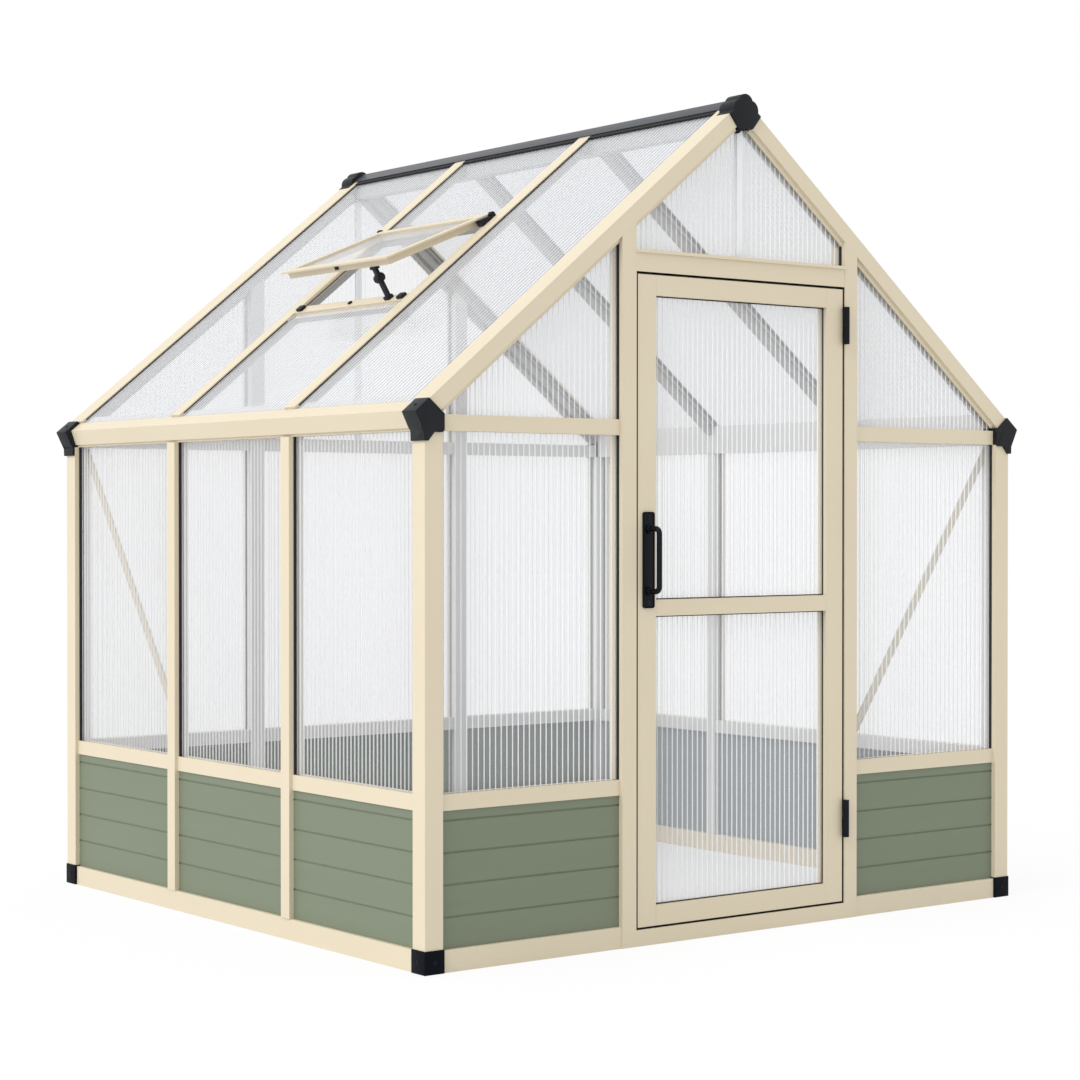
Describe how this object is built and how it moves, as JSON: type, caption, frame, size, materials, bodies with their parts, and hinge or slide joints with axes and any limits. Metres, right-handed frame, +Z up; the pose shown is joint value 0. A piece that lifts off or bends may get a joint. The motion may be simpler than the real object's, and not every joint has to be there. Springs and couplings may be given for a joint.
{
  "type": "walk-in greenhouse",
  "caption": "Walk-in gable greenhouse with a metal frame, fluted twin-wall sheets, boarded low walls, a hinged door with a pull handle and a propped roof vent.",
  "frame": {"origin": "on the ground, in the middle of the greenhouse's plan with the door handle counted in; the middle of the walls is 20.5 mm towards +Y", "axes": "+Z up, the door's wall faces -Y, the open roof vent is on the -X slope; +Y runs along the ridge"},
  "size_m": [2.0048, 1.847, 2.1015],
  "materials": {
    "frame_paint": "satin cream powder coat",
    "board_paint": "matt sage green paint",
    "sheet": "clear fluted twin-wall",
    "connector": "black moulded",
    "cap_plastic": "slate grey",
    "seal": "black"
  },
  "bodies": {
    "greenhouse": {"foot_caps": "connector", "corner_posts": "frame_paint", "base_rails": "frame_paint", "door_threshold": "frame_paint", "side_mullions": "frame_paint", "back_mullions": "frame_paint", "door_jambs": "frame_paint", "door_header": "frame_paint", "side_mid_rails": "frame_paint", "gable_mid_rails": "frame_paint", "gable_cross_rails": "frame_paint", "eaves_beams": "frame_paint", "eaves_knuckles": "connector", "gable_rafters": "frame_paint", "roof_bars": "frame_paint", "ridge_beam": "frame_paint", "ridge_cap": "cap_plastic", "ridge_seals": "seal", "ridge_end_caps": "connector", "left_boards": "board_paint", "right_boards": "board_paint", "front_boards": "board_paint", "back_boards": "board_paint", "left_wall_sheets": "sheet", "right_wall_sheets": "sheet", "front_wall_sheets": "sheet", "back_wall_sheets": "sheet", "front_gable_sheets": "sheet", "back_gable_sheets": "sheet", "gable_joint_strips": "sheet", "left_roof_sheets": "sheet", "right_roof_sheets": "sheet", "wall_braces": "frame_paint", "vent_curb": "frame_paint", "vent_hinges": "connector", "vent_sash": "frame_paint", "vent_sheet": "sheet", "vent_stay": "connector", "vent_catches": "connector", "door_seals": "seal", "frame_hinges": "connector"},
    "door": {"door_frame": "frame_paint", "door_sheets": "sheet", "door_hinges": "connector", "door_handle": "connector"}
  },
  "joints": [
    {"name": "door_hinge", "type": "hinge", "parent": "greenhouse", "child": "door", "pos_m": [0.347, -0.885, 0.213], "axis": [0, 0, 1], "range_deg": [0, 110]}
  ]
}
